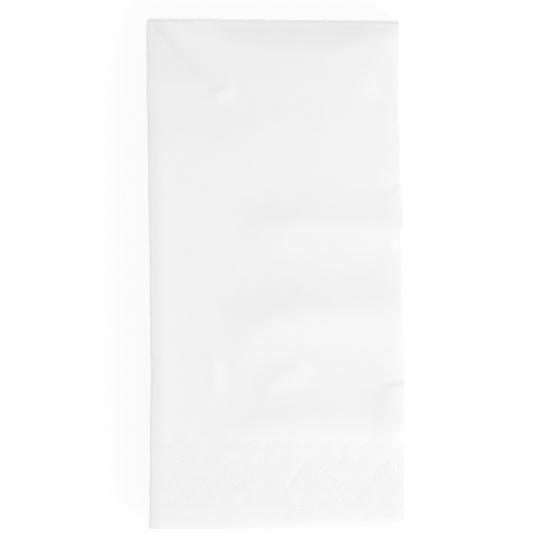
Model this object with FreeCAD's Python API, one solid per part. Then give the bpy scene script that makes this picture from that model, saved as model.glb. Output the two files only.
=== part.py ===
# A paper dinner napkin, folded to an eighth of its sheet and lying flat on a table.
# It is one nearly square sheet of soft white tissue. Two folds the long way lay it in four layers,
# and one fold across lays those in eight. Nothing is glued or cut, so the napkin is one solid.
# Millimetres. +X runs across the folded napkin and +Y along it, towards the cross fold.
# +Z is up from the table, and the origin is on the table under the middle of the napkin.
import FreeCAD, Part
import math
import os

from FreeCAD import Vector

# The open sheet
open_width = 392.0
open_length = 400.0
sheet_thickness = 0.32

# The two folds the long way
layer_gap = 0.18
inner_fold_setback = 1.0
buried_edge_setback = 1.4
covered_edge_setback = 0.7

# The fold across, which is puffed up and springs the upper half up in a low arch
cross_fold_inner_radius = 0.85
crown_rise = 1.8
open_end_drop = 0.9
lower_edge_reveal = 0.2

# The four layers of one half are counted outwards from the inside of the cross fold.
# The sheet starts at a free edge on the buried layer, turns up round the left edge to the face layer,
# turns back round the right edge, and ends inside, at its other free edge, on the covered layer.
BURIED, COVERED, LINING, FACE = range(4)
X_AXIS = Vector(1, 0, 0)

half_thickness = sheet_thickness / 2
layer_pitch = sheet_thickness + layer_gap


def layer_radius(layer):
    """Distance from the cross fold's axis to the middle of a layer."""
    return cross_fold_inner_radius + half_thickness + layer * layer_pitch


def bend_radius(layer, next_layer):
    """Radius of the sheet's middle in the bend that joins two layers."""
    return abs(layer_radius(next_layer) - layer_radius(layer)) / 2


outer_bend = bend_radius(BURIED, FACE)
right_bend = bend_radius(FACE, LINING)
inner_bend = bend_radius(LINING, COVERED)

# The four flat lengths and the three half-turn bends add up to the sheet's open width.
bends_length = math.pi * (outer_bend + right_bend + inner_bend)
right_overhang = right_bend + half_thickness
setbacks = 2 * inner_fold_setback + buried_edge_setback + covered_edge_setback
panel_width = (open_width - bends_length - 2 * right_overhang + setbacks) / 4
folded_width = outer_bend + half_thickness + panel_width + right_overhang

left_edge_x = -folded_width / 2
right_edge_x = folded_width / 2
outer_bend_x = left_edge_x + half_thickness + outer_bend
inner_bend_x = outer_bend_x + inner_fold_setback
right_bend_x = right_edge_x - right_overhang
buried_edge_x = right_edge_x - buried_edge_setback
covered_edge_x = right_edge_x - covered_edge_setback

# The two halves and the fold across, taken along the middle of the stack, add up to the open length.
stack_radius = (layer_radius(BURIED) + layer_radius(FACE)) / 2
outside_radius = layer_radius(FACE) + half_thickness
cross_fold_length = math.pi * stack_radius
lower_length = (open_length - cross_fold_length + lower_edge_reveal) / 2
upper_length = lower_length - lower_edge_reveal
cross_fold_y = (lower_length - outside_radius) / 2

# The arch is so shallow that its crown divides it as it would divide a parabola.
fold_to_crown = upper_length / (1 + math.sqrt(open_end_drop / crown_rise))
arch_radius = fold_to_crown**2 / (2 * crown_rise)
arch_turn = math.degrees(upper_length / arch_radius)
rise_angle = math.degrees(fold_to_crown / arch_radius)


def section_point(x, radius):
    """Point of the section where the lower half meets the cross fold, whose axis is the X axis."""
    return Vector(x, 0, -radius)


def sheet_side(offset):
    """Edges of one side of the sheet in section, at offset from its middle, from free edge to free edge."""
    bends = [
        (outer_bend_x, BURIED, FACE),
        (right_bend_x, FACE, LINING),
        (inner_bend_x, LINING, COVERED),
    ]
    edges = []
    heading = -1
    here = section_point(buried_edge_x, layer_radius(BURIED) + heading * offset)
    for bend_x, layer, next_layer in bends:
        bend_start = layer_radius(layer) + heading * offset
        bend_end = layer_radius(next_layer) - heading * offset
        start = section_point(bend_x, bend_start)
        reach = abs(bend_end - bend_start) / 2
        crown = section_point(bend_x + heading * reach, (bend_start + bend_end) / 2)
        end = section_point(bend_x, bend_end)
        edges.append(Part.makeLine(here, start))
        edges.append(Part.Arc(start, crown, end).toShape())
        here = end
        heading = -heading
    edges.append(Part.makeLine(here, Vector(covered_edge_x, here.y, here.z)))
    return edges


def folded_section():
    """Face of the sheet cut across, with its two folds the long way."""
    one_side = sheet_side(half_thickness)
    other_side = sheet_side(-half_thickness)
    buried_edge = Part.makeLine(other_side[0].firstVertex().Point, one_side[0].firstVertex().Point)
    covered_edge = Part.makeLine(one_side[-1].lastVertex().Point, other_side[-1].lastVertex().Point)
    outline = one_side + [covered_edge] + other_side[::-1] + [buried_edge]
    return Part.Face(Part.Wire(outline))


def folded_napkin():
    """The section run along the lower half, turned about the cross fold, and run back over the arch."""
    section = folded_section()
    fold_turn = 180 - rise_angle
    lower_half = section.extrude(Vector(0, -lower_length, 0))
    cross_fold = section.revolve(Vector(), X_AXIS, fold_turn)
    upper_section = section.copy()
    upper_section.rotate(Vector(), X_AXIS, fold_turn)
    rise = math.radians(rise_angle)
    arch_centre = Vector(0, -math.sin(rise), -math.cos(rise)) * (arch_radius - stack_radius)
    upper_half = upper_section.revolve(arch_centre, X_AXIS, arch_turn)
    napkin = lower_half.fuse([cross_fold, upper_half]).removeSplitter()
    napkin.translate(Vector(0, cross_fold_y, outside_radius))
    return napkin.Solids[0]


napkin = folded_napkin()
os.makedirs("parts", exist_ok=True)
napkin.exportStep("parts/napkin.step")

box = napkin.BoundBox
sheet_volume = open_width * open_length * sheet_thickness
print(f"folded {box.XLength:.1f} x {box.YLength:.1f} x {box.ZLength:.2f} mm, valid {napkin.isValid()}")
print(f"volume {napkin.Volume:.0f} mm3, against {sheet_volume:.0f} mm3 for the open sheet")
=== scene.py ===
# %% [markdown]
# # A folded paper napkin
#
# The object is one nearly square sheet of soft white tissue. Two folds the long way lay it in four
# layers, and one fold across lays those in eight. It lies on a table with the cross fold at the top,
# the double fold on the left, and an embossed border along the open end at the bottom.
#
# The whole napkin is drawn here as one surface of two parameters: how far across the open sheet a point
# is, and how far along it. The folding is then a chain of plain formulas, and because every point still
# knows its place on the open sheet, the embossing lands on the right layers by itself.

import bpy
import numpy as np
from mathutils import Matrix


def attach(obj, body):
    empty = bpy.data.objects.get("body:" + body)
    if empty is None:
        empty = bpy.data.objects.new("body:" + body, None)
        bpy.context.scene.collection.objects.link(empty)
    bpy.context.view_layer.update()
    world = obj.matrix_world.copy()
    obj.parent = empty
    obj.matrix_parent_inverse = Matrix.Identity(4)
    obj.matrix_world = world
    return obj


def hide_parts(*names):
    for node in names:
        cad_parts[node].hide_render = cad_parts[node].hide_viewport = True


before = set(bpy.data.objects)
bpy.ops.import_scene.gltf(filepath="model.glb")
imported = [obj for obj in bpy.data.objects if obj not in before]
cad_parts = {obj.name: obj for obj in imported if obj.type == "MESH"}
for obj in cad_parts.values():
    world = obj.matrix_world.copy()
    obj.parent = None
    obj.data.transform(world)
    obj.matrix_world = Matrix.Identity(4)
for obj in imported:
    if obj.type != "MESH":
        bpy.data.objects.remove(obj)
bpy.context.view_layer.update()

# %% [markdown]
# ## Measures of the sheet
#
# A dinner napkin opens to about 40 cm. The tissue has two plies, pressed together, and lies about a
# third of a millimetre thick. Everything below is worked out in millimetres and in the frame of the
# solid, with +Y towards the cross fold, and is turned into metres at the very end.

# %% Measures of the sheet and of its folds, in millimetres
MM = 0.001
TURN = 2 * np.pi

OPEN_WIDTH = 392.0
OPEN_LENGTH = 400.0
SHEET_THICKNESS = 0.32
LAYER_GAP = 0.18

INNER_FOLD_SETBACK = 1.0
BURIED_EDGE_SETBACK = 1.4
COVERED_EDGE_SETBACK = 0.7

CROSS_FOLD_INNER_RADIUS = 0.30
LOWER_EDGE_REVEAL = 0.2
ARCH_RISE = 1.5
ARCH_DROP = 0.75

BURIED, COVERED, LINING, FACE = range(4)
LAYER_PITCH = SHEET_THICKNESS + LAYER_GAP


def layer_radius(layer):
    """Distance of a layer from the cross fold's axis: inner radius, half a sheet, and a pitch a layer."""
    return CROSS_FOLD_INNER_RADIUS + SHEET_THICKNESS / 2 + layer * LAYER_PITCH


def smooth_ramp(value, low, high):
    """0 below low and 1 above high, and three t squared less two t cubed on the way."""
    t = np.clip((value - low) / (high - low), 0, 1)
    return t * t * (3 - 2 * t)


def bell(distance, width):
    """A bell curve: e to the minus of the square of distance over width."""
    return np.exp(-((distance / width) ** 2))


layer_radii = [round(layer_radius(layer), 2) for layer in (BURIED, COVERED, LINING, FACE)]
print("Layer radii in the cross fold:", layer_radii)

# %% [markdown]
# ## The section: two folds the long way
#
# Cut across, the folded sheet is one long line that doubles back three times. It could be drawn from
# lines and arcs. It is shorter to let a walker draw it: they go straight, turn half round at a fold, and
# go straight again. The place at any point is the running sum of the steps taken so far, so the line
# has the sheet's true length by construction.

# %% The walk across the sheet
outer_bend = (layer_radius(FACE) - layer_radius(BURIED)) / 2
right_bend = (layer_radius(FACE) - layer_radius(LINING)) / 2
inner_bend = (layer_radius(LINING) - layer_radius(COVERED)) / 2
right_overhang = right_bend + SHEET_THICKNESS / 2

flat_total = OPEN_WIDTH - np.pi * (outer_bend + right_bend + inner_bend)
setbacks = 2 * INNER_FOLD_SETBACK + BURIED_EDGE_SETBACK + COVERED_EDGE_SETBACK
panel_width = (flat_total - 2 * right_overhang + setbacks) / 4
folded_width = outer_bend + SHEET_THICKNESS / 2 + panel_width + right_overhang
left_edge, right_edge = -folded_width / 2, folded_width / 2

outer_bend_x = left_edge + SHEET_THICKNESS / 2 + outer_bend
inner_bend_x = outer_bend_x + INNER_FOLD_SETBACK
right_bend_x = right_edge - right_overhang
buried_edge_x = right_edge - BURIED_EDGE_SETBACK
covered_edge_x = right_edge - COVERED_EDGE_SETBACK

# Each leg of the walk: its length, how far the walker turns on it, and how many rows of points it gets.
LEGS = [
    ("buried layer", buried_edge_x - outer_bend_x, 0, 10),
    ("outer fold", np.pi * outer_bend, -np.pi, 14),
    ("face", right_bend_x - outer_bend_x, 0, 140),
    ("right fold", np.pi * right_bend, -np.pi, 10),
    ("lining", right_bend_x - inner_bend_x, 0, 10),
    ("inner fold", np.pi * inner_bend, np.pi, 8),
    ("covered layer", covered_edge_x - inner_bend_x, 0, 10),
]
leg_ends = np.cumsum([0] + [length for name, length, turn, rows in LEGS])
headings = np.cumsum([np.pi] + [turn for name, length, turn, rows in LEGS])
WALK_STEP = 0.01


def section(u):
    """Where a point lies in the section, from its distance u across the sheet.

    The heading is constant on a flat leg and turns evenly on a fold. The distance across the napkin is
    the running sum of the heading's cosine, and the radius from the cross fold's axis that of its sine.
    """
    steps = np.arange(0, OPEN_WIDTH + WALK_STEP, WALK_STEP)
    middles = np.interp(steps[:-1] + WALK_STEP / 2, leg_ends, headings)
    across = buried_edge_x + np.concatenate([[0], np.cumsum(np.cos(middles))]) * WALK_STEP
    radius = layer_radius(BURIED) + np.concatenate([[0], np.cumsum(np.sin(middles))]) * WALK_STEP
    return np.interp(u, steps, across), np.interp(u, steps, radius)


for name, length, turn, rows in LEGS:
    print(f"  {name:14s}{length:7.2f} mm")
print(f"Legs add up to {leg_ends[-1]:.2f} mm, and the napkin is {folded_width:.2f} mm wide")

# %% [markdown]
# ## The fold across
#
# The whole stack of four layers then turns half round one axis. A layer far from the axis needs more
# paper for the turn than a near one, so real layers creep: at the open end they step back a little, one
# behind the other. Soft tissue takes part of that up by crumpling in the fold, so only a share of the
# creep shows. A fold that has been pressed isn't round but blunt, so the turn follows a superellipse,
# which runs flatter over the top and turns down more sharply at the edge.

# %% The half turn along the sheet
CREEP = 0.1
FOLD_BLUNTNESS = 2.6
stack_radius = (layer_radius(BURIED) + layer_radius(FACE)) / 2
outside_radius = layer_radius(FACE) + SHEET_THICKNESS / 2
fold_middle = (OPEN_LENGTH + LOWER_EDGE_REVEAL) / 2
lower_length = fold_middle - np.pi * stack_radius / 2
upper_length = OPEN_LENGTH - fold_middle - np.pi * stack_radius / 2
fold_y = (lower_length - outside_radius) / 2


def cross_fold(radius, v):
    """Splits the distance v along the sheet into what comes before the fold, the turn, and what is past it.

    The fold takes pi times the radius of the paper, where only the creeping share of a layer's own radius
    counts. Returns the distance to the fold, the angle turned from 0 to pi, and the distance past it.
    """
    fold_length = np.pi * (stack_radius + CREEP * (radius - stack_radius))
    fold_start = fold_middle - fold_length / 2
    to_go = np.maximum(fold_start - v, 0)
    angle = np.pi * np.clip((v - fold_start) / fold_length, 0, 1)
    past = np.maximum(v - fold_start - fold_length, 0)
    return to_go, angle, past


def blunt(value):
    """The sine or cosine of a superellipse: its size is raised to the power of two over the bluntness."""
    return np.sign(value) * np.abs(value) ** (2 / FOLD_BLUNTNESS)


for layer in (BURIED, FACE):
    left_over = cross_fold(layer_radius(layer), np.array(OPEN_LENGTH))[2]
    print(f"Layer {layer} ends {float(left_over):.2f} mm past the fold")

# %% [markdown]
# ## How the upper half lies
#
# A fresh fold is springy. It puffs up, so the upper half stands off the lower one, rises to a low crown
# past the middle and sinks a little to the open end. Two parts of the fold have stayed pressed down. One is
# a long lens along the top edge. The other is the top left corner, inside a diagonal crease. Both climb
# back to the level of the rest, and show darker because they lean away from the light.

# %% The arch, the puffed fold, the lens and the pressed corner
ARCH_EASE = 2.0
PUFF = 1.1
LENS_MIDDLE = 4.2
LENS_HALF_WIDTH = 35.8
LENS_DEPTH = 9.5
LENS_LEAN = 0.28
LENS_BLUNTNESS = 3.9
LENS_SLOPE = 0.082
LENS_SLOPE_LOSS = 0.5
LENS_CREST = 0.22
LENS_CREST_WIDTH = 9.0
CORNER_CREASE_START = (-43.7, 99.5)
CORNER_CREASE_END = (-20.4, 73.4)
CORNER_CREASE_WIDTH = 3.6
HIDDEN_CREASE_WIDTH = 12.0
CORNER_LOWER_Y = 74.6
CORNER_SLOPE = 0.058
DOME_HEIGHT = 0.45
DOME_RUN_IN = 25.0
OPEN_END_CURL = 0.30
OPEN_END_CURL_GROWTH = 0.25
OPEN_END_CURL_WIDTH = 6.0
LAYER_FAN = 0.10
LAYER_FAN_LENGTH = 40.0

fold_to_crown = upper_length / (1 + np.sqrt(ARCH_DROP / ARCH_RISE))


def arch(past):
    """A parabola with its crown fold_to_crown away, whose start is eased so that it leaves the fold level."""
    parabola = ARCH_RISE * (1 - (1 - past / fold_to_crown) ** 2)
    start_slope = 2 * ARCH_RISE / fold_to_crown
    return parabola - start_slope * ARCH_EASE * (1 - np.exp(-past / ARCH_EASE))


def side_of(line_start, line_end, x, y):
    """Distance of a point to the left of a directed line, and its distance along it, by two dot products."""
    run = np.subtract(line_end, line_start)
    length = np.hypot(*run)
    along = ((x - line_start[0]) * run[0] + (y - line_start[1]) * run[1]) / length
    aside = ((y - line_start[1]) * run[0] - (x - line_start[0]) * run[1]) / length
    return aside, along, length


def lens(x, past):
    """How far the lens is pressed down: a slope from its bowed border back to the fold, steepest on the left.

    The lens is deepest on the right. A low crest, which dies away as e to the minus of the distance, runs
    along its border.
    """
    share = np.clip((x - LENS_MIDDLE) / LENS_HALF_WIDTH, -1, 1)
    body = 1 - np.abs(share) ** LENS_BLUNTNESS
    above_border = LENS_DEPTH * (1 + LENS_LEAN * share) * body - past
    slope = LENS_SLOPE * (1 - LENS_SLOPE_LOSS * share)
    crest = LENS_CREST * body * np.exp(-np.abs(above_border) / LENS_CREST_WIDTH)
    return slope * np.maximum(above_border, 0) - crest


def pressed_corner(x, y, faceness):
    """How far the corner is pressed down: a steady slope up from its lower border, ended at the crease.

    The hidden layers, where faceness is 0, sink before the crease, so that the face can't cut into them.
    """
    inside_crease = -side_of(CORNER_CREASE_START, CORNER_CREASE_END, x, y)[0]
    ramp_start = -HIDDEN_CREASE_WIDTH * (1 - faceness)
    ended = smooth_ramp(inside_crease, ramp_start, CORNER_CREASE_WIDTH * faceness)
    return CORNER_SLOPE * np.maximum(y - CORNER_LOWER_Y, 0) * ended


def puffed_fold(x, y, faceness, angle, past):
    """The puff, less what is pressed down. It grows as one less the blunt cosine of the angle turned."""
    pressed = lens(x, past) + pressed_corner(x, y, faceness)
    return (PUFF - pressed) * (1 - blunt(np.cos(angle))) / 2


def dome(x, past):
    """A parabola across the napkin, highest in the middle, which grows in from the fold."""
    return DOME_HEIGHT * (1 - (2 * x / folded_width) ** 2) * smooth_ramp(past, 0, DOME_RUN_IN)


def open_end_curl(x, past):
    """A parabola that takes the last few millimetres of the upper half down, most of all on the right."""
    into_curl = np.maximum(past - upper_length + OPEN_END_CURL_WIDTH, 0)
    curl = OPEN_END_CURL + OPEN_END_CURL_GROWTH * 2 * x / folded_width
    return -curl * (into_curl / OPEN_END_CURL_WIDTH) ** 2


print(f"The crown is {fold_to_crown:.0f} mm from the fold, of {upper_length:.0f} mm")

# %% [markdown]
# ## Soft waves and creases
#
# Folded tissue is never quite flat. Three long waves run in from the right-hand fold and die out before
# the left one, lower swells lie beside them, and small puckers pinch the folds. All of them are the same
# thing at different sizes: a raised line with a slope on each side. So one function draws them all, and a
# list says where each is. A wave has a rounded crest, and most creases have a sharper one.

# %% One raised line, and the lists of them
# Each line: start, end, height, width on its left side, width on its right side, bow, sharpness, fade.
WAVES = [
    ((-18, 19.5), (80, 19.5), 0.66, 9.5, 9.5, 0.0, 1.5, 26),
    ((-24, -19.3), (80, -14.5), 0.90, 13.0, 13.0, 2.0, 1.5, 36),
    ((-18, -40), (7, -15.5), 0.26, 16.0, 8.0, 5.0, 1.5, 10),
    ((-80, 50), (12, 52), 0.32, 15.0, 28.0, 0.0, 1.6, 50),
    ((-34, 57), (48, 57), 0.35, 15.0, 40.0, 0.0, 1.6, 34),
    ((-30, -61.8), (80, -66.8), 0.82, 12.0, 11.0, 5.5, 1.5, 40),
    ((-48, -92), (34, -92), 0.22, 12.0, 14.0, 0.0, 1.6, 22),
]
CREASES = [
    ((-26, 68.5), (-14.5, 74.5), 0.24, 2.8, 4.0, 0.0, 1.4, 5),
    ((34, 72), (48, 104), 0.19, 12.0, 3.8, -1.2, 1.5, 10),
    ((35, 72.5), (57, 62), -0.25, 3.4, 2.8, 0.6, 1.4, 7),
    ((42, 33.5), (56, 38), -0.16, 3.0, 1.6, 0.0, 1.3, 4),
    ((43, 26), (56, 26), -0.12, 2.4, 1.3, 0.0, 1.3, 4),
    ((44, 10.5), (56, 9), -0.15, 2.6, 1.5, 0.0, 1.3, 3),
    ((37, -46.2), (60, -41.7), 0.26, 0.8, 9.0, 0.8, 1.0, 9),
    ((35, -58), (47, -45), 0.20, 6.0, 14.0, 0.0, 1.9, 6),
    ((36, -57), (58, -56), 0.16, 6.0, 10.0, 0.0, 1.5, 6),
    ((-8, -46.5), (14, -35), 0.26, 5.6, 4.4, 0.8, 1.6, 7),
    ((-25, -22), (-24, -54), 0.15, 2.8, 4.5, 0.0, 1.7, 12),
    ((-56, -34.5), (-41, -35), 0.10, 1.4, 2.2, 0.0, 1.3, 4),
    ((-56, -20), (-43, -19), 0.10, 1.6, 2.0, 0.0, 1.5, 4),
]


def raised_line(x, y, start, end, height, left_width, right_width, bow, sharpness, fade):
    """A raised line: height times e to the minus of distance over width, to the power of sharpness.

    The width differs on the two sides of the line. The line bows sideways as a parabola, and its height
    fades in and out at its ends.
    """
    aside, along, length = side_of(start, end, x, y)
    share = np.clip(along / length, 0, 1)
    aside = aside - 4 * bow * share * (1 - share)
    width = np.where(aside > 0, left_width, right_width)
    ends = smooth_ramp(along, 0, fade) * smooth_ramp(length - along, 0, fade)
    return height * ends * np.exp(-(np.abs(aside) / width) ** sharpness)


def raised_lines(lines, x, y):
    """The sum of all raised lines of a list."""
    return sum(raised_line(x, y, *line) for line in lines)


print(f"{len(WAVES)} waves and {len(CREASES)} creases")

# %% [markdown]
# ## The face bows out between its folds
#
# The top layer is held at both long folds and stands up a little between them, like a very flat cushion.
# On the left the fold is a thick double one, so the face rises quickly. A soft bead lies along it, except
# near the pressed corner, where the face rises more slowly instead. On the right it rolls off evenly.

# %% The bowed face and its bead
# A span is a pair of distances from the middle, up towards the corner or down towards the open end.
FACE_RISE = 0.18
LEFT_ROLL_WIDTH = 4.2
LEFT_ROLL_WIDTH_AT_CORNER = 6.4
LEFT_ROLL_POWER = 2
CORNER_SPAN = (40, 75)
RIGHT_RISE = 0.24
RIGHT_RISE_START_X = -20
RIGHT_RISE_LOSS = 0.5
RIGHT_RISE_LOSS_SPAN = (40, 60)
RIGHT_ROLL_WIDTH = 8.0
RIGHT_ROLL_POWER = 3
BEAD_HEIGHT = 0.10
BEAD_LOSS_AT_OPEN_END = 0.6
BEAD_LOSS_SPAN = (45, 85)
BEAD_CENTRE = 4.6
BEAD_WIDTH = 4.0


def fall(distance, height, width, power):
    """How far the face has fallen at a distance from an edge: height at the edge, nothing from width on."""
    return height * (1 - np.clip(distance / width, 0, 1)) ** power


def bowed_face(x, y):
    """The face's rise less its fall to each edge, and a bell-shaped bead beside the left fold.

    The rise passes from its left value to its right one across the napkin. The bead dies away at both ends.
    """
    from_left, from_right = x - left_edge, right_edge - x
    cornerness = smooth_ramp(y, *CORNER_SPAN)
    left_width = LEFT_ROLL_WIDTH + (LEFT_ROLL_WIDTH_AT_CORNER - LEFT_ROLL_WIDTH) * cornerness
    right_rise = RIGHT_RISE * (1 - RIGHT_RISE_LOSS * smooth_ramp(-y, *RIGHT_RISE_LOSS_SPAN))
    rightness = smooth_ramp(x, RIGHT_RISE_START_X, right_edge - RIGHT_ROLL_WIDTH)
    rise = FACE_RISE + (right_rise - FACE_RISE) * rightness
    left_fall = fall(from_left, FACE_RISE, left_width, LEFT_ROLL_POWER)
    right_fall = fall(from_right, right_rise, RIGHT_ROLL_WIDTH, RIGHT_ROLL_POWER)
    bead_loss = BEAD_LOSS_AT_OPEN_END * smooth_ramp(-y, *BEAD_LOSS_SPAN)
    bead = BEAD_HEIGHT * (1 - cornerness - bead_loss) * bell(from_left - BEAD_CENTRE, BEAD_WIDTH)
    return rise - left_fall - right_fall + bead * smooth_ramp(from_left, 0, BEAD_CENTRE)


print(f"The face stands {bowed_face(0.0, 0.0):.2f} mm higher in its middle")

# %% [markdown]
# ## Edges that aren't quite straight
#
# Each half keeps its own outline. Both folds lean to the right by a millimetre or two over their length,
# and the right one steps out a little above the middle. A slow wander, a sum of sines, keeps any edge
# from being ruled.

# %% The outline of each half
TOP_SKEW = -0.009
LEFT_TOP_SHIFT = -0.65
LEFT_LEAN = 1.95
LEFT_LEAN_TOP = 100.0
LEFT_LEAN_LENGTH = 145.0
RIGHT_TOP_SHIFT = 0.05
LOWER_HALF_INSET = 0.5
# Moves to the right on the way down: the size of each, and the y where it begins and ends.
LEFT_MOVES = [(-0.35, -48, -52), (-0.45, -60, -100)]
RIGHT_MOVES = [(0.65, 75, 35), (0.9, -5, -30), (1.1, 34, 26), (-0.4, 22, 10)]
# The size of each sine of the wander, and what y is divided by in it.
WANDER_SINES = [(0.07, 7.0), (0.05, 3.1), (0.05, 17.0)]
UPPER_LEFT_PHASE, LOWER_LEFT_PHASE = 0.4, 2.1
UPPER_RIGHT_PHASE, LOWER_RIGHT_PHASE = 1.3, 3.7


def wander(y, phase):
    """Three sines of different lengths, under a fifth of a millimetre in all."""
    sines = enumerate(WANDER_SINES, 1)
    return sum(size * np.sin(y / length + count * phase) for count, (size, length) in sines)


def moved(y, moves):
    """How far an edge has moved down to y: the sum of smooth moves, each full from its end on."""
    return sum(size * smooth_ramp(-y, -begin, -end) for size, begin, end in moves)


def left_shift(y, upperness):
    """The left fold moves right on the way down, and the last quarter of it springs back a little."""
    lean = LEFT_TOP_SHIFT + LEFT_LEAN * np.clip((LEFT_LEAN_TOP - y) / LEFT_LEAN_LENGTH, 0, 1)
    upper = moved(y, LEFT_MOVES) + wander(y, UPPER_LEFT_PHASE)
    lower = LOWER_HALF_INSET + wander(y, LOWER_LEFT_PHASE)
    return lean + upper * upperness + lower * (1 - upperness)


def right_shift(y, upperness):
    """The fold leans out on the way down, with a small step above the middle. The lower half stays in."""
    lean = RIGHT_TOP_SHIFT + moved(y, RIGHT_MOVES)
    upper = wander(y, UPPER_RIGHT_PHASE)
    lower = wander(y, LOWER_RIGHT_PHASE) - LOWER_HALF_INSET
    return lean + upper * upperness + lower * (1 - upperness)


for side, shift in (("left", left_shift), ("right", right_shift)):
    print(f"The {side} fold leans {shift(-fold_y, 1) - shift(fold_y, 1):.1f} mm to the right on its way down")

# %% [markdown]
# ## The embossed border
#
# Rolls with fine pins press the border into the open sheet before it is folded. The photograph shows
# specks, short rows and arcs of dots in it, but no clear pattern. So the pattern here is a plain old one: a
# dotted vine winds along the border, a blossom of two dotted rings sits in each of its bends, and small
# leaves and a scalloped row go between. It runs round all four sides, so the folded napkin shows it along
# its open end, and on each layer there.
#
# The pins themselves are finer than a mesh should be, so they go into the material. The soft groove that
# each row of pins pulls down is wide enough to see, so it goes into the mesh. Both read the same list.

# %% The rows and rings of the border
PIN_RADIUS = 0.55
REPEAT = 30.0
PIN_ROWS = [
    # pitch, middle, swing, wavelength, phase
    (1.9, 33.4, 1.2, REPEAT / 4, 0.0),
    (1.4, 18.4, 8.4, REPEAT, 2.68),
    (1.8, 5.2, 1.0, REPEAT / 4, 0.0),
]
PIN_RINGS = [
    # distance from one ring to the next, shift along, middle, radius, pins
    (REPEAT, -5.3, 21.4, 4.3, 13),
    (REPEAT, -5.3, 21.4, 2.0, 6),
    (REPEAT, 9.7, 15.4, 4.3, 13),
    (REPEAT, 9.7, 15.4, 2.0, 6),
    (REPEAT, 5.6, 27.2, 1.2, 4),
    (REPEAT, 13.8, 27.2, 1.2, 4),
    (REPEAT, -1.2, 9.8, 1.2, 4),
    (REPEAT, -9.4, 9.8, 1.2, 4),
]
GROOVE_DEPTH = 0.04
GROOVE_WIDTH = 0.9
BORDER_WIDTH = 37.0


def border_place(u, v):
    """The place in the border: the distance along the nearest side of the sheet, and in from it."""
    from_side = np.minimum(u, OPEN_WIDTH - u)
    from_end = np.minimum(v, OPEN_LENGTH - v)
    along = np.where(from_end < from_side, u - OPEN_WIDTH / 2, v - OPEN_LENGTH / 2)
    return along, np.minimum(from_side, from_end)


def grooves(u, v):
    """How deep the rows and rings press: a bell over the distance to each line, and the deepest wins."""
    along, inwards = border_place(u, v)
    pressed = np.zeros(np.broadcast(u, v).shape)
    for pitch, middle, swing, wavelength, phase in PIN_ROWS:
        angle = TURN * along / wavelength + phase
        slope = swing * TURN / wavelength * np.cos(angle)
        distance = (inwards - middle - swing * np.sin(angle)) / np.sqrt(1 + slope**2)
        pressed = np.maximum(pressed, bell(distance, GROOVE_WIDTH))
    for spacing, shift, middle, radius, pins in PIN_RINGS:
        nearest = spacing * np.round((along - shift) / spacing) + shift
        distance = np.hypot(along - nearest, inwards - middle) - radius
        pressed = np.maximum(pressed, bell(distance, GROOVE_WIDTH))
    return GROOVE_DEPTH * pressed


print(f"{len(PIN_ROWS)} rows and {len(PIN_RINGS)} rings in each repeat of {REPEAT:.0f} mm")

# %% [markdown]
# ## Folding the sheet
#
# Now the pieces come together in one function from the open sheet to the folded napkin. Waves move all
# four layers of the upper half. The finer relief moves the face alone, which always stands a little off
# the layer beneath, so no layer passes through another.

# %% The folded surface
SETTLING_LENGTH = 4.0


def folded_napkin(u, v):
    """The folded sheet as a function of the distances u across it and v along it.

    The section gives x and the radius. The cross fold turns the radius about its axis, so y is the blunt
    sine of the angle turned and z its blunt cosine, and straight runs lead away from it on both sides. The
    upper half then gets its arch, lens, waves and creases, each added to the height.
    """
    u, v = u[:, None], v[None, :]
    x, radius = section(u)
    to_go, angle, past = cross_fold(radius, v)
    upperness = angle / np.pi
    settled = smooth_ramp(past, 0, SETTLING_LENGTH)
    faceness = smooth_ramp(radius, layer_radius(LINING), layer_radius(FACE))
    face_share = faceness * settled

    y = fold_y + radius * blunt(np.sin(angle)) - to_go - past
    z = outside_radius - radius * blunt(np.cos(angle))

    depth = (radius - layer_radius(BURIED)) / LAYER_PITCH
    fan = LAYER_FAN * depth * smooth_ramp(past, upper_length - LAYER_FAN_LENGTH, upper_length)
    lift = puffed_fold(x, y, faceness, angle, past) + arch(past) + dome(x, past)
    waves = settled * raised_lines(WAVES, x, y)
    relief = bowed_face(x, y) + raised_lines(CREASES, x, y) - grooves(u, v)
    z = z + (lift + open_end_curl(x, past) + fan) + waves + face_share * relief

    share = (x - left_edge) / folded_width
    x = x + left_shift(y, upperness) * (1 - share) + right_shift(y, upperness) * share
    y = y + TOP_SKEW * x * smooth_ramp(y, -fold_y, fold_y)
    return x + 0 * v, y, z


first_corner = [round(float(place[0, 0]), 1) for place in folded_napkin(np.zeros(1), np.zeros(1))]
print("The first corner of the sheet lies at", first_corner)

# %% [markdown]
# ## The grid
#
# Rows of points go where the form needs them: dense round the folds and over the face, densest in the
# border and at the sharp puckers, and sparse on the straight hidden layers. The grid stays one regular
# net, so its faces are a plain count and need no triangulation.

# %% Rows across and along the sheet
# The places of the puckers are distances past the middle of the cross fold.
FOLD_APPROACH = 12.0
FOLD_REACH = 2.6
BORDER_MARGIN = 1.0
PUCKER_PLACES = [30.0, 64.5, 73.0, 89.5, 144.0]
PUCKER_REACH = 3.2
PUCKER_CROWDING = 2.2
DENSITY_SAMPLES = 2000
LOWER_ROWS, APPROACH_ROWS, FOLD_ROWS, UPPER_ROWS, BORDER_ROWS = 14, 5, 16, 146, 62

approach_start = fold_middle - FOLD_APPROACH
fold_start, fold_end = fold_middle - FOLD_REACH, fold_middle + FOLD_REACH
border_start = OPEN_LENGTH - BORDER_WIDTH - BORDER_MARGIN


def crowded_rows(start, end, count):
    """Even steps of the running sum of a density, which has a bell-shaped peak at each pucker."""
    fine = np.linspace(start, end, DENSITY_SAMPLES)
    from_puckers = fine - fold_middle - np.array(PUCKER_PLACES)[:, None]
    density = 1 + PUCKER_CROWDING * bell(from_puckers, PUCKER_REACH).sum(axis=0)
    passed = np.cumsum(density) - density[0]
    return np.interp(np.linspace(0, passed[-1], count, endpoint=False), passed, fine)


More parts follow.
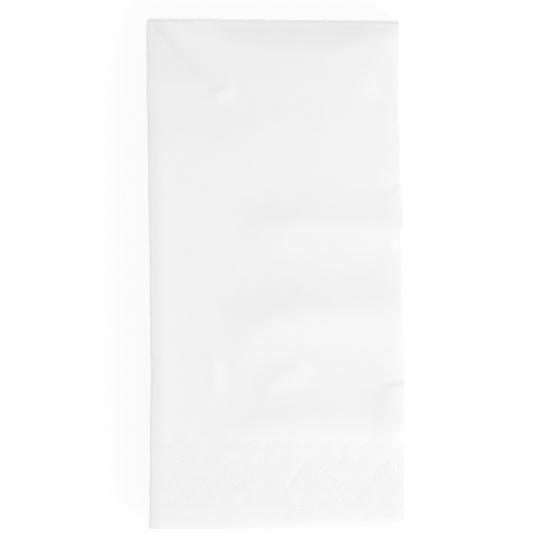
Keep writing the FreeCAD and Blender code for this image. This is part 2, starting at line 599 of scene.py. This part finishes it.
leg_rows = [
    np.linspace(start, end, rows, endpoint=False)
    for start, end, (name, length, turn, rows) in zip(leg_ends, leg_ends[1:], LEGS)
]
rows_across = np.concatenate([*leg_rows, [OPEN_WIDTH]])
rows_along = np.concatenate([
    np.linspace(0, approach_start, LOWER_ROWS, endpoint=False),
    np.linspace(approach_start, fold_start, APPROACH_ROWS, endpoint=False),
    np.linspace(fold_start, fold_end, FOLD_ROWS, endpoint=False),
    crowded_rows(fold_end, border_start, UPPER_ROWS),
    np.linspace(border_start, OPEN_LENGTH, BORDER_ROWS),
])


def grid_mesh(name, points, places):
    """A mesh from a net of points, with four corners a face, and the places on the sheet as its UV map."""
    across, along = points.shape[:2]
    first = (np.arange(across - 1)[:, None] * along + np.arange(along - 1)).ravel()
    faces = np.stack([first, first + 1, first + along + 1, first + along], axis=1)
    mesh = bpy.data.meshes.new(name)
    mesh.from_pydata(points.reshape(-1, 3), [], faces.tolist())
    corners = np.empty(len(mesh.loops), int)
    mesh.loops.foreach_get("vertex_index", corners)
    uv = mesh.uv_layers.new(name="sheet")
    uv.data.foreach_set("uv", places.reshape(-1, 2)[corners].ravel())
    mesh.polygons.foreach_set("use_smooth", np.ones(len(mesh.polygons), bool))
    mesh.validate()
    return mesh


points = np.stack(folded_napkin(rows_across, rows_along), axis=-1) * MM
places = np.stack(np.meshgrid(rows_across, rows_along, indexing="ij"), axis=-1) * MM
print(f"{len(rows_across)} rows across and {len(rows_along)} along the sheet")

# %% [markdown]
# ## Giving the sheet its thickness
#
# A single surface has no edge to catch the light, and from the side the open end would vanish. Solidify
# gives it the thickness of the tissue, half to each side, and a rim. It is then made final, so that the
# cut edges can be marked sharp by their angle while the folds stay soft.

# %% The piece
CUT_EDGE_ANGLE = np.radians(55)


def made_final(piece):
    """The piece with its modifiers worked into its mesh."""
    shape = piece.evaluated_get(bpy.context.evaluated_depsgraph_get())
    final = bpy.data.meshes.new_from_object(shape)
    piece.modifiers.clear()
    piece.data = final
    return final


sheet = bpy.data.objects.new("folded_sheet", grid_mesh("folded_sheet", points, places))
bpy.context.scene.collection.objects.link(sheet)
wall = sheet.modifiers.new("Thickness", "SOLIDIFY")
wall.thickness = SHEET_THICKNESS * MM
wall.offset = 0
wall.use_rim = True
made_final(sheet).set_sharp_from_angle(angle=CUT_EDGE_ANGLE)
print(f"The sheet has {len(sheet.data.polygons)} faces")

# %% [markdown]
# ## Wiring nodes in few words
#
# A material is a small program. Adding each node and each wire by hand would take ten lines for one
# product, so a helper adds a node, fills its inputs with numbers or with other nodes' outputs, and hands
# back its output.

# %% A helper for node trees
class Wiring:
    """Adds nodes to one tree and joins their sockets."""

    def __init__(self, tree):
        self.tree = tree

    def node(self, kind, inputs=(), **settings):
        """A node of that kind. Its inputs are given by name or number, as numbers or as sockets."""
        made = self.tree.nodes.new(kind)
        for name, value in settings.items():
            setattr(made, name, value)
        for key, value in dict(inputs).items():
            if isinstance(value, bpy.types.NodeSocket):
                self.tree.links.new(value, made.inputs[key])
            else:
                made.inputs[key].default_value = value
        return made

    def math(self, operation, *values):
        """The output of a Math node with those values."""
        return self.node("ShaderNodeMath", enumerate(values), operation=operation).outputs[0]

    def ramp(self, value, low, high, at_low=0.0, at_high=1.0):
        """The value taken smoothly from one range to another."""
        limits = {"Value": value, "From Min": low, "From Max": high, "To Min": at_low, "To Max": at_high}
        return self.node("ShaderNodeMapRange", limits, interpolation_type="SMOOTHSTEP").outputs["Result"]


def new_group(name, inputs, outputs):
    """An empty node group with named number sockets. Returns its wiring, its inputs and its output node."""
    group = bpy.data.node_groups.new(name, "ShaderNodeTree")
    for label, standard in inputs.items():
        socket = group.interface.new_socket(label, in_out="INPUT", socket_type="NodeSocketFloat")
        socket.default_value = standard
    for label in outputs:
        group.interface.new_socket(label, in_out="OUTPUT", socket_type="NodeSocketFloat")
    wiring = Wiring(group)
    return wiring, wiring.node("NodeGroupInput").outputs, wiring.node("NodeGroupOutput")


def link_outputs(wiring, output_node, values):
    """Joins the named values to the group's outputs."""
    for label, value in values.items():
        wiring.tree.links.new(value, output_node.inputs[label])


# %% [markdown]
# ## Finding the place in the border
#
# The UV map holds each point's place on the open sheet, in metres. The same folding back of distances as
# in the mesh gives the place in the border, along the nearest side and in from it, in millimetres.

# %% Group: place in the border
def make_border_place():
    """Distance to the nearest side, and along it, as in border_place above."""
    w, given, out = new_group("Place in the border", {"Across": 0.0, "Along": 0.0}, ["Along Side", "Inwards"])
    across, along = given["Across"], given["Along"]
    from_side = w.math("MINIMUM", across, w.math("SUBTRACT", OPEN_WIDTH, across))
    from_end = w.math("MINIMUM", along, w.math("SUBTRACT", OPEN_LENGTH, along))
    end_is_nearer = w.math("LESS_THAN", from_end, from_side)
    centred_across = w.math("SUBTRACT", across, OPEN_WIDTH / 2)
    centred_along = w.math("SUBTRACT", along, OPEN_LENGTH / 2)
    difference = w.math("SUBTRACT", centred_across, centred_along)
    along_side = w.math("MULTIPLY_ADD", difference, end_is_nearer, centred_along)
    link_outputs(w, out, {"Along Side": along_side, "Inwards": w.math("MINIMUM", from_side, from_end)})
    return w.tree


border_place_group = make_border_place()

# %% [markdown]
# ## Pins on a wave, and pins in a ring
#
# A row of pins is a repeat: the distance along the side is cut into cells, and each cell has one pin at
# its middle, lifted to where the wave is there. A ring is the same in polar form, with the circle cut
# into equal sectors. Each group puts out a mask that is 1 at a pin's centre and 0 outside it. Its sockets
# are named in the order of the lists above, and start with the values of the first row or ring.

# %% Groups: a row of pins and a ring of pins
ROW_SOCKETS = ("Pitch", "Middle", "Swing", "Wavelength", "Phase")
RING_SOCKETS = ("Spacing", "Shift", "Middle", "Radius", "Count")


def new_pin_group(name, sockets, standards):
    """An empty group that takes a place in the border, the named values and a pin's radius."""
    inputs = {"Along Side": 0.0, "Inwards": 0.0, **dict(zip(sockets, standards)), "Pin Radius": PIN_RADIUS}
    return new_group(name, inputs, ["Pins"])


def make_pin_row():
    """One pin per pitch, at the middle of its cell along the side and on the wave's line inwards."""
    w, given, out = new_pin_group("Pins on a wave", ROW_SOCKETS, PIN_ROWS[0])
    cell = w.math("FLOOR", w.math("DIVIDE", given["Along Side"], given["Pitch"]))
    pin_along = w.math("MULTIPLY", w.math("ADD", cell, 0.5), given["Pitch"])
    turns = w.math("DIVIDE", pin_along, given["Wavelength"])
    wave = w.math("SINE", w.math("MULTIPLY_ADD", turns, TURN, given["Phase"]))
    pin_inwards = w.math("MULTIPLY_ADD", wave, given["Swing"], given["Middle"])
    run = w.math("SUBTRACT", given["Along Side"], pin_along)
    rise = w.math("SUBTRACT", given["Inwards"], pin_inwards)
    squares = w.math("MULTIPLY_ADD", run, run, w.math("MULTIPLY", rise, rise))
    link_outputs(w, out, {"Pins": w.ramp(w.math("SQRT", squares), 0.0, given["Pin Radius"], 1.0, 0.0)})
    return w.tree


def make_pin_ring():
    """Pins at the middles of equal sectors of a circle, and one at its centre, repeated along the side."""
    w, given, out = new_pin_group("Pins in a ring", RING_SOCKETS, PIN_RINGS[0])
    shifted = w.math("SUBTRACT", given["Along Side"], given["Shift"])
    nearest = w.math("ROUND", w.math("DIVIDE", shifted, given["Spacing"]))
    run = w.math("SUBTRACT", shifted, w.math("MULTIPLY", nearest, given["Spacing"]))
    rise = w.math("SUBTRACT", given["Inwards"], given["Middle"])
    sector = w.math("DIVIDE", TURN, given["Count"])
    index = w.math("FLOOR", w.math("DIVIDE", w.math("ARCTAN2", rise, run), sector))
    pin_angle = w.math("MULTIPLY", w.math("ADD", index, 0.5), sector)
    pin_run = w.math("SUBTRACT", run, w.math("MULTIPLY", w.math("COSINE", pin_angle), given["Radius"]))
    pin_rise = w.math("SUBTRACT", rise, w.math("MULTIPLY", w.math("SINE", pin_angle), given["Radius"]))
    to_pin = w.math("MULTIPLY_ADD", pin_run, pin_run, w.math("MULTIPLY", pin_rise, pin_rise))
    to_centre = w.math("MULTIPLY_ADD", run, run, w.math("MULTIPLY", rise, rise))
    nearer = w.math("SQRT", w.math("MINIMUM", to_pin, to_centre))
    link_outputs(w, out, {"Pins": w.ramp(nearer, 0.0, given["Pin Radius"], 1.0, 0.0)})
    return w.tree


pin_row_group = make_pin_row()
pin_ring_group = make_pin_ring()

# %% [markdown]
# ## Tissue
#
# Close up, tissue shows three things. Fibres lie in every direction and make it faintly cloudy. The
# blade that scrapes it off the drying roll leaves fine crepe ridges across it. And single fibres stand up
# and give it a dry, matt face. The group puts out a cloudiness for the colour and a height in
# millimetres for the bump. Soft tissue also springs back from the pins, more in one place than in the
# next, so the group puts out how well the pattern has kept.

# %% Group: tissue
CLOUD_SIZE = 7.0
CLOUD_DETAIL = 3.0
CREPE_LENGTH = 2.6
CREPE_PITCH = 0.5
CREPE_DETAIL = 1.0
CREPE_HEIGHT = 0.005
FIBRE_SIZE = 0.28
FIBRE_DETAIL = 2.0
FIBRE_HEIGHT = 0.003
PRESS_SIZE = 5.0
PRESS_DETAIL = 2.0
PRESS_NOISE_SPAN = (0.44, 0.66)
WEAKEST_PRESS = 0.15
NOISE_ROUGHNESS = 0.6


def make_tissue():
    """Noises on the open sheet: its clouds, its ridges, its fibres, and how well the pattern has kept."""
    w, given, out = new_group("Tissue", {"Across": 0.0, "Along": 0.0}, ["Cloud", "Height", "Press"])

    def noise(across_size, along_size, detail):
        """A noise between 0 and 1 whose spots have about that size across and along the sheet."""
        place = w.node("ShaderNodeCombineXYZ", {
            "X": w.math("DIVIDE", given["Across"], across_size),
            "Y": w.math("DIVIDE", given["Along"], along_size),
        })
        wanted = {"Vector": place.outputs[0], "Scale": 1.0, "Detail": detail, "Roughness": NOISE_ROUGHNESS}
        return w.node("ShaderNodeTexNoise", wanted, noise_dimensions="2D").outputs["Fac"]

    crepe = w.math("MULTIPLY", noise(CREPE_LENGTH, CREPE_PITCH, CREPE_DETAIL), CREPE_HEIGHT)
    height = w.math("MULTIPLY_ADD", noise(FIBRE_SIZE, FIBRE_SIZE, FIBRE_DETAIL), FIBRE_HEIGHT, crepe)
    press = w.ramp(noise(PRESS_SIZE, PRESS_SIZE, PRESS_DETAIL), *PRESS_NOISE_SPAN, WEAKEST_PRESS, 1.0)
    cloud = noise(CLOUD_SIZE, CLOUD_SIZE, CLOUD_DETAIL)
    link_outputs(w, out, {"Cloud": cloud, "Height": height, "Press": press})
    return w.tree


tissue_group = make_tissue()
print("Node groups:", [group.name for group in bpy.data.node_groups])

# %% [markdown]
# ## The material
#
# The groups are placed once each, or once a row or ring, with their own values, and the deepest pin wins.
# The pins are a trace darker and less rough as well as lower. Dry tissue
# has next to no gloss, from low down as well, so the specular level is close to nothing. It is the same
# all over, so it is set on the shader itself.

# %% Material: embossed tissue
PIN_DEPTH = 0.06
WHITE = 0.90
CLOUD_CONTRAST = 0.022
PIN_DARKENING = 0.02
ROUGHNESS = 0.92
PIN_SMOOTHING = 0.12
GLOSS = 0.05


def embossed_tissue():
    """The napkin's material, from its UV map: colour, roughness and bump out of the groups above."""
    material = bpy.data.materials.new("embossed_tissue")
    material.use_nodes = True
    tree = material.node_tree
    tree.nodes.clear()
    w = Wiring(tree)

    def placed(group, inputs):
        """The outputs of a group that is placed with those inputs."""
        return w.node("ShaderNodeGroup", inputs, node_tree=group).outputs

    uv = w.node("ShaderNodeSeparateXYZ", {0: w.node("ShaderNodeUVMap", uv_map="sheet").outputs[0]}).outputs
    across, along = w.math("DIVIDE", uv["X"], MM), w.math("DIVIDE", uv["Y"], MM)
    place = placed(border_place_group, {"Across": across, "Along": along})
    here = {"Along Side": place["Along Side"], "Inwards": place["Inwards"]}

    masks = [placed(pin_row_group, here | dict(zip(ROW_SOCKETS, row)))["Pins"] for row in PIN_ROWS]
    masks += [placed(pin_ring_group, here | dict(zip(RING_SOCKETS, ring)))["Pins"] for ring in PIN_RINGS]
    pins = masks[0]
    for mask in masks[1:]:
        pins = w.math("MAXIMUM", pins, mask)

    tissue = placed(tissue_group, {"Across": across, "Along": along})
    pins = w.math("MULTIPLY", pins, tissue["Press"])
    cloud = w.math("MULTIPLY_ADD", tissue["Cloud"], CLOUD_CONTRAST, WHITE - CLOUD_CONTRAST / 2)
    shade = w.math("MULTIPLY", cloud, w.math("MULTIPLY_ADD", pins, -PIN_DARKENING, 1.0))
    colour = w.node("ShaderNodeCombineColor", {"Red": shade, "Green": shade, "Blue": shade})
    roughness = w.math("MULTIPLY_ADD", pins, -PIN_SMOOTHING, ROUGHNESS)
    height = w.math("MULTIPLY_ADD", pins, -PIN_DEPTH, tissue["Height"])
    bump = w.node("ShaderNodeBump", {"Height": height, "Distance": MM, "Strength": 1.0})

    shader = w.node("ShaderNodeBsdfPrincipled", {
        "Base Color": colour.outputs[0],
        "Roughness": roughness,
        "Normal": bump.outputs[0],
        "Specular IOR Level": GLOSS,
    })
    w.node("ShaderNodeOutputMaterial", {"Surface": shader.outputs[0]})
    return material


sheet.data.materials.clear()
sheet.data.materials.append(embossed_tissue())
tissue = sheet.data.materials[0]
print("Material:", tissue.name, "with", len(tissue.node_tree.nodes), "nodes")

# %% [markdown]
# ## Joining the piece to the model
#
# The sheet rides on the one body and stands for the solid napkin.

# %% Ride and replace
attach(sheet, "root")
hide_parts("napkin")

# %% [markdown]
# ## Table
#
# White on white only works if the table is whiter than the napkin. The camera sees the table as near
# white by its own glow, while the part of it that is lit still takes the napkin's soft shadow.

# %% The table
TABLE_HALF = 1.5
TABLE_WHITE = 0.82
TABLE_GLOW = 1.06
TABLE_GLOW_SHARE = 0.80


def white_table():
    """A matt white that shows the camera a share of plain white, so that shadows on it stay light."""
    material = bpy.data.materials.new("white_table")
    material.use_nodes = True
    tree = material.node_tree
    tree.nodes.clear()
    w = Wiring(tree)
    path = w.node("ShaderNodeLightPath").outputs
    seen = w.math("ADD", path["Is Camera Ray"], path["Is Glossy Ray"])
    seen = w.math("MINIMUM", w.math("ADD", seen, path["Is Transmission Ray"]), 1.0)
    lit = w.node("ShaderNodeBsdfDiffuse", {"Color": (TABLE_WHITE, TABLE_WHITE, TABLE_WHITE, 1)})
    glow = w.node("ShaderNodeEmission", {"Strength": TABLE_GLOW})
    share = w.math("MULTIPLY", seen, TABLE_GLOW_SHARE)
    mixed = w.node("ShaderNodeMixShader", {0: share, 1: lit.outputs[0], 2: glow.outputs[0]})
    w.node("ShaderNodeOutputMaterial", {"Surface": mixed.outputs[0]})
    return material


corners = np.array([(-1, -1, 0), (1, -1, 0), (1, 1, 0), (-1, 1, 0)]) * TABLE_HALF
table_mesh = bpy.data.meshes.new("table")
table_mesh.from_pydata(corners, [], [(0, 1, 2, 3)])
table_mesh.materials.append(white_table())
table = bpy.data.objects.new("table", table_mesh)
bpy.context.scene.collection.objects.link(table)
print(f"The table is {2 * TABLE_HALF:.0f} m wide")

# %% [markdown]
# ## Light
#
# The forms are a fraction of a millimetre high, so they only show under light from the side. One broad
# lamp low on the lower right gives each slope its tone. The world is a white tent round the table, with
# walls brighter than its top, so that the folds stay nearly as light as the face. Together they make a
# level sheet of paper render about as white as it is.

# %% World and lamp
TENT_TOP = 0.39
TENT_WALLS = 2.25
TENT_POWER = 2.0
LAMP_DISTANCE = 4.0
LAMP_AZIMUTH = np.radians(-37)
LAMP_ELEVATION = np.radians(16)
LAMP_SIZE = 1.6
LAMP_POWER = 135.0

world = bpy.data.worlds.new("white_tent")
world.use_nodes = True
world.node_tree.nodes.clear()
w = Wiring(world.node_tree)
direction = w.node("ShaderNodeSeparateXYZ", {0: w.node("ShaderNodeTexCoord").outputs["Generated"]}).outputs
lowness = w.math("SUBTRACT", 1.0, w.math("MAXIMUM", direction["Z"], 0.0))
tent = w.math("MULTIPLY_ADD", w.math("POWER", lowness, TENT_POWER), TENT_WALLS, TENT_TOP)
seen = w.node("ShaderNodeLightPath").outputs["Is Camera Ray"]
strength = w.node("ShaderNodeMix", {"Factor": seen, "A": tent, "B": 1.0}).outputs["Result"]
tent_light = w.node("ShaderNodeBackground", {"Color": (1, 1, 1, 1), "Strength": strength})
w.node("ShaderNodeOutputWorld", {"Surface": tent_light.outputs[0]})
bpy.context.scene.world = world

towards_lamp = np.array([
    np.cos(LAMP_ELEVATION) * np.cos(LAMP_AZIMUTH),
    np.cos(LAMP_ELEVATION) * np.sin(LAMP_AZIMUTH),
    np.sin(LAMP_ELEVATION),
])
lamp_data = bpy.data.lights.new("broad_lamp", "AREA")
lamp_data.shape = "DISK"
lamp_data.size = LAMP_SIZE
lamp_data.energy = LAMP_POWER
lamp = bpy.data.objects.new("broad_lamp", lamp_data)
lamp.location = towards_lamp * LAMP_DISTANCE
lamp.rotation_euler = (np.pi / 2 - LAMP_ELEVATION, 0, LAMP_AZIMUTH + np.pi / 2)
bpy.context.scene.collection.objects.link(lamp)
print("The lamp stands at", lamp.location.to_tuple(2), "m")

# %% [markdown]
# ## Camera
#
# The photograph looks straight down from well above. The distance is long, so the raised crown isn't
# magnified, and the field of view is set from the width of table that the picture spans.

# %% The camera
VIEW_WIDTH = 0.2166
VIEW_CENTRE = (0.0005, -0.0004)
CAMERA_HEIGHT = 1.5

camera_data = bpy.data.cameras.new("camera")
camera_data.sensor_fit = "HORIZONTAL"
camera_data.lens = camera_data.sensor_width * CAMERA_HEIGHT / VIEW_WIDTH
camera = bpy.data.objects.new("camera", camera_data)
camera.location = (*VIEW_CENTRE, CAMERA_HEIGHT)
bpy.context.scene.collection.objects.link(camera)
bpy.context.scene.camera = camera
bpy.context.scene.view_settings.view_transform = "Standard"
print(f"Lens {camera_data.lens:.0f} mm")
